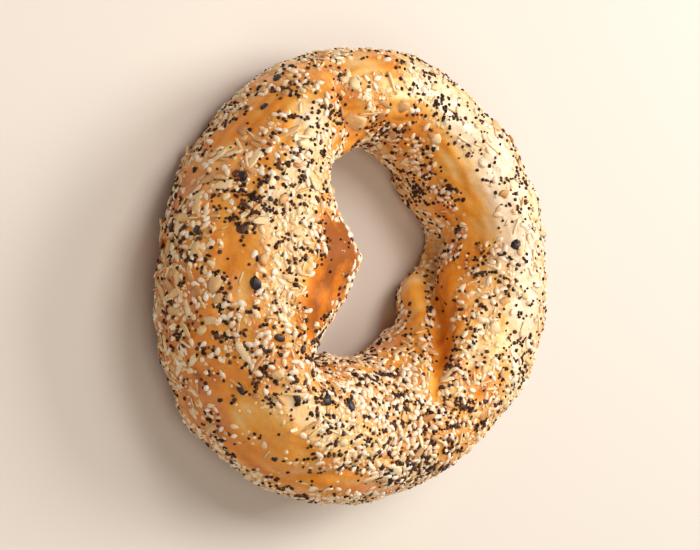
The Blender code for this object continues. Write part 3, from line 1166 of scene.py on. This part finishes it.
FLAKE_FINISH = BitFinish(
    (
        (0.00, (0.012, 0.009, 0.010)), (0.14, (0.045, 0.016, 0.012)), (0.30, (0.22, 0.055, 0.015)),
        (0.50, (0.60, 0.28, 0.09)), (0.75, (0.82, 0.56, 0.26)), (1.00, (0.90, 0.73, 0.46)),
    ),
    roughness=0.45, grain=0.9 * MM, grain_depth=0.2 * MM,
)
FLAKE_TONES = (0.55, 0.65, 0.75, 0.85, 0.95)
TOPPINGS = (
    # Each spot gives its own length and width.
    Topping(
        "large_bits", Form.CHIP, 0, (0, 0, 1.3), 1.1, FLAKE_FINISH,
        rough=0.20, bend=0.4, tilt=0.15, sink=0.1,
        spots=rows(
            Spot,
            (188, 64, 3.2, 2.8, 20, 0.02), (204, 79, 3.6, 2.0, 70, 0.16), (229, 107, 3.8, 2.8, 40, 0.0),
            (238, 106, 4.2, 2.2, 100, 0.02), (212, 43, 3.4, 1.8, 10, 0.08), (210, 100, 2.0, 1.6, 0, 0.04),
            (219, 113, 2.6, 2.0, 60, 0.05), (4, 112, 2.9, 2.6, 0, 0.01), (112, 124, 6.4, 5.2, 20, 0.66),
            (92, 104, 4.2, 3.6, 70, 0.62), (160, 38, 2.2, 2.0, 0, 0.24), (128, 16, 3.2, 2.0, 30, 0.02),
            (138, 26, 2.4, 2.0, 0, 0.06), (160, 42, 3.0, 2.0, 80, 0.07), (174, 352, 2.6, 2.2, 0, 0.06),
            (174, 52, 3.0, 2.4, 110, 0.17), (175, 21, 2.8, 2.2, 30, 0.09), (220, 84, 3.0, 1.8, 0, 0.10),
        ),
    ),
    Topping(
        "onion_flakes", Form.CHIP, 290, (2.7, 1.9, 0.6), 0.95, FLAKE_FINISH, FLAKE_TONES,
        rough=0.32, bend=0.5, tilt=0.20, sink=0.02,
        clusters=rows(Cluster, (36, 90, 22, 0.3), (66, 78, 14, 0.4)),
    ),
    Topping(
        "papery_flakes", Form.CHIP, 110, (5.2, 1.7, 0.35), 0.9, FLAKE_FINISH, FLAKE_TONES,
        spread=0.22, rough=0.22, bend=0.5, tilt=0.16, sink=-0.2, clumping=0.4,
        clusters=rows(
            Cluster,
            (168, 6, 14, 7.0), (190, 8, 14, 6.0), (150, 26, 10, 4.0), (340, 60, 20, 0.4), (36, 92, 22, 0.3),
        ),
    ),
    Topping(
        "sesame_seeds", Form.SEED, 1450, (2.35, 1.45, 0.82), 0.64,
        BitFinish(
            ((0.0, (0.78, 0.46, 0.20)), (0.35, (0.88, 0.66, 0.42)), (1.0, (0.91, 0.79, 0.64))),
            roughness=0.36, grain=0.6 * MM, grain_depth=0.03 * MM,
        ),
        tones=(0.3, 0.5, 0.65, 0.8, 0.95),
        spread=0.09, rough=0.05, bend=0.15, tilt=0.16, sink=-0.05, patchiness=0.35, bare_share=0.006,
        clusters=rows(
            Cluster,
            (248, 118, 10, 3.0), (268, 113, 11, 2.7), (284, 68, 11, 1.8), (262, 62, 11, 1.5),
            (205, 72, 9, 2.0), (134, 70, 6, 1.6), (38, 92, 22, 0.35), (345, 95, 15, 0.5),
            (66, 78, 14, 0.4), (190, 36, 22, 0.65),
        ),
    ),
    Topping(
        "dried_slivers", Form.STICK, 340, (3.4, 0.62, 0.5), 0.6,
        BitFinish(
            ((0.0, (0.60, 0.29, 0.09)), (0.5, (0.84, 0.58, 0.27)), (1.0, (0.92, 0.76, 0.48))),
            roughness=0.5, grain=0.8 * MM,
        ),
        tones=(0.2, 0.5, 0.7, 0.9), spread=0.24, rough=0.12, bend=0.35, tilt=0.2, sink=-0.2,
        clusters=rows(Cluster, (150, 34, 9, 2.4), (189, 16, 9, 1.6), (36, 90, 22, 0.3), (66, 78, 14, 0.4)),
    ),
    Topping(
        "garlic_granules", Form.LUMP, 2300, (1.25, 1.05, 0.8), 0.34,
        BitFinish(
            ((0.0, (0.68, 0.38, 0.14)), (0.5, (0.86, 0.66, 0.36)), (1.0, (0.93, 0.81, 0.58))),
            roughness=0.55, grain_depth=0.04 * MM,
        ),
        tones=(0.2, 0.45, 0.6, 0.8, 0.95), tilt=0.4, patchiness=0.45, smooth=False,
        clusters=rows(
            Cluster,
            (150, 90, 10, 1.6), (178, 86, 11, 1.4), (250, 115, 14, 1.3), (36, 92, 22, 0.2),
            (345, 90, 16, 0.45), (66, 78, 14, 0.3), (190, 36, 22, 0.5), (142, 20, 18, 0.35),
        ),
    ),
    Topping(
        "fine_crumbs", Form.LUMP, 2800, (0.85, 0.70, 0.50), 0.22,
        BitFinish(
            ((0.0, (0.60, 0.30, 0.12)), (0.3, (0.84, 0.58, 0.32)), (1.0, (0.92, 0.77, 0.58))),
            roughness=0.6, grain=0.4 * MM, grain_depth=0.03 * MM,
        ),
        tones=(0.05, 0.4, 0.6, 0.8, 0.95), patchiness=0.45, clumping=0.85, toast_and_shade=0.6, smooth=False,
        clusters=rows(
            Cluster,
            (150, 90, 10, 1.4), (178, 86, 11, 1.2), (250, 115, 14, 1.2), (36, 92, 22, 0.3),
            (345, 90, 16, 0.5), (66, 78, 14, 0.3), (142, 20, 18, 0.4),
        ),
    ),
    Topping(
        "poppy_seeds", Form.BEAD, 6500, (1.05, 0.90, 0.75), 0.24,
        BitFinish(
            ((0.0, (0.012, 0.006, 0.005)), (0.5, (0.046, 0.020, 0.014)), (1.0, (0.14, 0.060, 0.038))),
            roughness=0.5, specular=0.18, grain=0.3 * MM, grain_depth=0.03 * MM,
        ),
        tones=(0.1, 0.3, 0.45, 0.6, 0.8, 0.95),
        spread=0.18, rough=0.16, tilt=0.4, sink=-0.05, patchiness=0.75, clumping=0.85, bare_share=0.03,
        clusters=rows(
            Cluster,
            (54, 185, 10, 2.0), (32, 188, 10, 1.9), (200, 34, 10, 1.6), (219, 110, 9, 1.8),
            (262, 113, 14, 3.6), (50, 152, 12, 1.7), (70, 84, 8, 1.4), (35, 98, 16, 0.55),
            (5, 104, 14, 0.6), (320, 112, 12, 1.6), (284, 70, 10, 1.5), (224, 52, 9, 0.5),
            (350, 70, 10, 0.5), (172, 14, 10, 1.3), (165, 88, 16, 1.7), (150, 60, 14, 1.5),
            (190, 60, 14, 1.4), (266, 76, 16, 2.6), (124, 140, 5, 2.4), (103, 122, 4, 2.8),
        ),
    ),
    Topping(
        "coarse_salt", Form.LUMP, 200, (1.2, 1.1, 0.9), 0.45,
        BitFinish(((0.0, (0.82, 0.77, 0.70)), (1.0, (0.91, 0.86, 0.80))), roughness=0.22),
        tones=(0.5,), spread=0.2, rough=0.2, sink=-0.1, smooth=False,
    ),
)


@dataclass(frozen=True)
class Light:
    """A square soft light: the direction it comes from, its distance and width in metres, and its watts."""

    name: str
    towards: Triple
    away: float
    size: float
    power: float
    colour: Colour


@dataclass(frozen=True)
class Studio:
    """A pale floor, soft lights and the camera."""

    view_angle: float = 38.0
    distance: float = 0.516
    aim: Triple = (0.0, 0.0, 18.0 * MM)
    sideways: float = 2.8 * MM
    lens: float = 108.3
    sensor: float = 36.0
    floor_size: float = 3.0
    floor_height: float = -0.2 * MM
    floor_colour: Colour = (0.66, 0.61, 0.55)
    floor_roughness: float = 0.7
    sky_colour: Colour = (1.0, 0.97, 0.93)
    sky_strength: float = 0.20
    lights: tuple[Light, ...] = (
        Light("key", (0.10, 0.42, 0.90), 0.9, 0.40, 4.3, (1.0, 0.94, 0.90)),
        Light("side", (0.75, 0.25, 0.61), 0.9, 0.45, 6.9, (1.0, 0.97, 0.92)),
        Light("fill", (-0.30, -0.30, 0.82), 1.1, 0.8, 4.5, (1.0, 0.87, 0.73)),
    )

    def make_floor(self) -> None:
        """A wide flat floor just under the bagel."""
        half, height = self.floor_size / 2, self.floor_height
        corners = [(-half, -half, height), (half, -half, height), (half, half, height), (-half, half, height)]
        mesh = bpy.data.meshes.new("floor")
        mesh.from_pydata(corners, [], [(0, 1, 2, 3)])
        nodes = Nodes("floor")
        nodes.set(Base_Color=(*self.floor_colour, 1.0), Roughness=self.floor_roughness)
        mesh.materials.append(nodes.material)
        floor = bpy.data.objects.new("floor", mesh)
        bpy.context.scene.collection.objects.link(floor)

    def make_light(self, light: Light) -> None:
        """Puts up a light that faces the bagel.

        Args:
            light: the light's settings.
        """
        data = bpy.data.lights.new(light.name, "AREA")
        data.color = light.colour
        data.size = light.size
        data.energy = light.power
        lamp = bpy.data.objects.new(light.name, data)
        direction = Vector(light.towards).normalized()
        lamp.location = Vector(self.aim) + direction * light.away
        lamp.rotation_mode = "QUATERNION"
        lamp.rotation_quaternion = direction.to_track_quat("Z", "Y")
        bpy.context.scene.collection.objects.link(lamp)

    def make_world(self) -> None:
        """An even pale sky."""
        world = bpy.data.worlds.new("sky")
        world.use_nodes = True
        sky = world.node_tree.nodes["Background"]
        sky.inputs["Color"].default_value = (*self.sky_colour, 1.0)
        sky.inputs["Strength"].default_value = self.sky_strength
        bpy.context.scene.world = world

    def make_camera(self) -> None:
        """The camera looks down on the bagel from its wide side, turned so that +Y is up in the picture."""
        turn = math.radians(self.view_angle)
        right = Vector((math.cos(turn), 0, math.sin(turn)))
        back = Vector((-math.sin(turn), 0, math.cos(turn)))
        data = bpy.data.cameras.new("camera")
        data.lens = self.lens
        data.sensor_width = self.sensor
        camera = bpy.data.objects.new("camera", data)
        place = Matrix((right, Vector((0, 1, 0)), back)).transposed().to_4x4()
        place.translation = Vector(self.aim) + back * self.distance - right * self.sideways
        camera.matrix_world = place
        bpy.context.scene.collection.objects.link(camera)
        bpy.context.scene.camera = camera

    def make(self) -> None:
        """Builds all of it and sets how light becomes colour."""
        self.make_camera()
        self.make_floor()
        self.make_world()
        for light in self.lights:
            self.make_light(light)
        bpy.context.scene.view_settings.view_transform = "Standard"


def main() -> None:
    """Builds the studio, the crust and every kind of topping, in that order."""
    logging.basicConfig(level=logging.INFO, format="%(name)s %(message)s")
    Studio().make()
    crust = Crust(DoughForm())
    crust.make()
    Sprinkler(crust).make()


if __name__ == "__main__":
    main()
